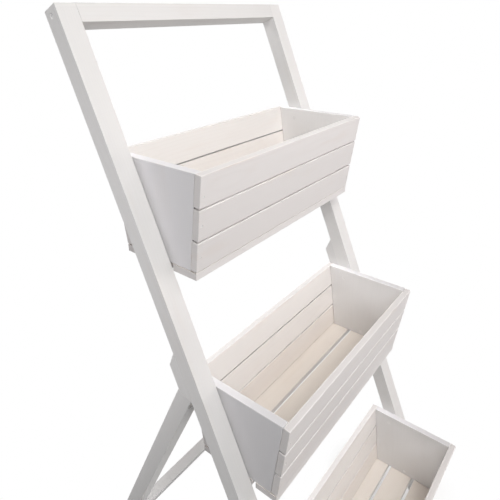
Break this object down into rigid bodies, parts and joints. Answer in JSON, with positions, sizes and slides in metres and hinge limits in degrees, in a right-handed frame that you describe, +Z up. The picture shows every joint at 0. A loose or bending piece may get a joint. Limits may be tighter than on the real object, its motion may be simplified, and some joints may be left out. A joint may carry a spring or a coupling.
{
  "type": "plant ladder stand",
  "caption": "Leaning ladder stand that carries slatted planter boxes between its stiles, with a hinged rear leg frame that folds flat against the ladder.",
  "frame": {"origin": "on the floor, at the centre of the stand's bounding box", "axes": "+X to the right seen from the front, +Y to the back where the rear legs stand, +Z up"},
  "size_m": [0.56, 0.6882, 1.3],
  "materials": {
    "frame_timber": "thin matt white paint over planed softwood, faint grain",
    "board_timber": "thin matt white paint, a little warmer, faint grain along the boards",
    "end_timber": "thin matt white paint, a little greyer",
    "zinc_steel": "dull zinc plate"
  },
  "bodies": {
    "ladder": {"left_stile": "frame_timber", "right_stile": "frame_timber", "top_rail": "frame_timber", "left_leg_stop": "frame_timber", "right_leg_stop": "frame_timber", "left_hinge_stile_leaf": "zinc_steel", "right_hinge_stile_leaf": "zinc_steel", "left_hinge_pin": "zinc_steel", "right_hinge_pin": "zinc_steel", "top_box_front_slat_1": "board_timber", "top_box_front_slat_2": "board_timber", "top_box_front_slat_3": "board_timber", "top_box_back_slat_1": "board_timber", "top_box_back_slat_2": "board_timber", "top_box_back_slat_3": "board_timber", "top_box_floor_board_1": "board_timber", "top_box_floor_board_2": "board_timber", "top_box_floor_board_3": "board_timber", "top_box_left_end": "end_timber", "top_box_right_end": "end_timber", "middle_box_front_slat_1": "board_timber", "middle_box_front_slat_2": "board_timber", "middle_box_front_slat_3": "board_timber", "middle_box_back_slat_1": "board_timber", "middle_box_back_slat_2": "board_timber", "middle_box_back_slat_3": "board_timber", "middle_box_floor_board_1": "board_timber", "middle_box_floor_board_2": "board_timber", "middle_box_floor_board_3": "board_timber", "middle_box_left_end": "end_timber", "middle_box_right_end": "end_timber", "bottom_box_front_slat_1": "board_timber", "bottom_box_front_slat_2": "board_timber", "bottom_box_front_slat_3": "board_timber", "bottom_box_back_slat_1": "board_timber", "bottom_box_back_slat_2": "board_timber", "bottom_box_back_slat_3": "board_timber", "bottom_box_floor_board_1": "board_timber", "bottom_box_floor_board_2": "board_timber", "bottom_box_floor_board_3": "board_timber", "bottom_box_left_end": "end_timber", "bottom_box_right_end": "end_timber", "top_box_left_screw_1": "zinc_steel", "top_box_left_screw_2": "zinc_steel", "top_box_right_screw_1": "zinc_steel", "top_box_right_screw_2": "zinc_steel", "middle_box_left_screw_1": "zinc_steel", "middle_box_left_screw_2": "zinc_steel", "middle_box_right_screw_1": "zinc_steel", "middle_box_right_screw_2": "zinc_steel", "bottom_box_left_screw_1": "zinc_steel", "bottom_box_left_screw_2": "zinc_steel", "bottom_box_right_screw_1": "zinc_steel", "bottom_box_right_screw_2": "zinc_steel"},
    "rear_legs": {"left_leg": "frame_timber", "right_leg": "frame_timber", "rear_rail": "frame_timber", "left_hinge_leg_leaf": "zinc_steel", "right_hinge_leg_leaf": "zinc_steel"}
  },
  "joints": [
    {"name": "legs_fold", "type": "hinge", "parent": "ladder", "child": "rear_legs", "pos_m": [0, -0.00962, 0.67499], "axis": [-1, 0, 0], "range_deg": [0, 48]}
  ]
}
